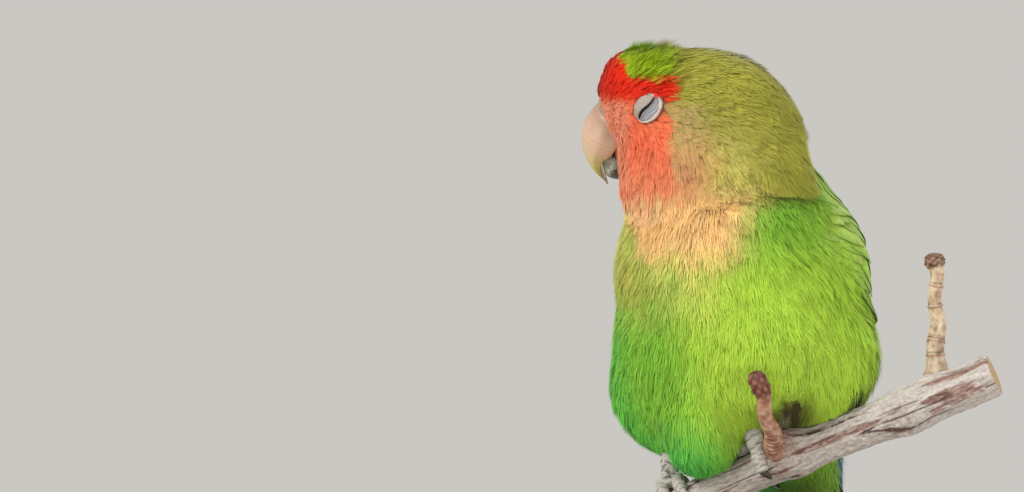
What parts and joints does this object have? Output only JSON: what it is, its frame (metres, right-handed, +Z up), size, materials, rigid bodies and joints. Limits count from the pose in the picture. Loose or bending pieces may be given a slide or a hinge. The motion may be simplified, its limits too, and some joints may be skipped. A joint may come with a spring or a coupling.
{
  "type": "peach-faced lovebird",
  "caption": "Small green parrot with a salmon face and a scarlet forehead, asleep and gripping a cut branch on a plain display stand.",
  "frame": {"origin": "middle of the underside of the stand's base", "axes": "+Z up; the viewer of the picture looks along +Y; the bill points along -X and the breast is turned between -X and -Y"},
  "size_m": [0.1027, 0.0765, 0.1416],
  "materials": {
    "face_plumage": "soft feathers, salmon to scarlet",
    "nape_plumage": "soft feathers, yellow-green",
    "body_plumage": "soft feathers, bright green",
    "rump_plumage": "soft feathers, blue",
    "wing_feathers": "stiff vaned feathers, green with dark tips",
    "eye": "wet and dark",
    "eyelid_skin": "bare pale grey skin",
    "foot_skin": "scaly grey skin",
    "claw_horn": "dark horn",
    "tail_feathers": "stiff vaned feathers, green",
    "cere_skin": "soft beige skin",
    "bill_horn": "pale horn, satin",
    "bark": "weathered grey bark",
    "stand_wood": "dark varnished wood",
    "stand_brass": "satin brass"
  },
  "bodies": {
    "root": {"head": "face_plumage", "neck": "nape_plumage", "torso": "body_plumage", "rump": "rump_plumage", "thigh_left": "body_plumage", "wing_left": "wing_feathers", "eyeball_left": "eye", "lid_upper_left": "eyelid_skin", "lid_lower_left": "eyelid_skin", "foot_left": "foot_skin", "claw_left_inner_front": "claw_horn", "claw_left_outer_front": "claw_horn", "claw_left_outer_rear": "claw_horn", "claw_left_inner_rear": "claw_horn", "thigh_right": "body_plumage", "wing_right": "wing_feathers", "eyeball_right": "eye", "lid_upper_right": "eyelid_skin", "lid_lower_right": "eyelid_skin", "foot_right": "foot_skin", "claw_right_inner_front": "claw_horn", "claw_right_outer_front": "claw_horn", "claw_right_outer_rear": "claw_horn", "claw_right_inner_rear": "claw_horn", "tail": "tail_feathers", "cere": "cere_skin", "bill_upper": "bill_horn", "bill_lower": "bill_horn", "perch": "bark", "stand_base": "stand_wood", "stand_rod_1": "stand_brass", "stand_rod_2": "stand_brass"}
  },
  "joints": []
}
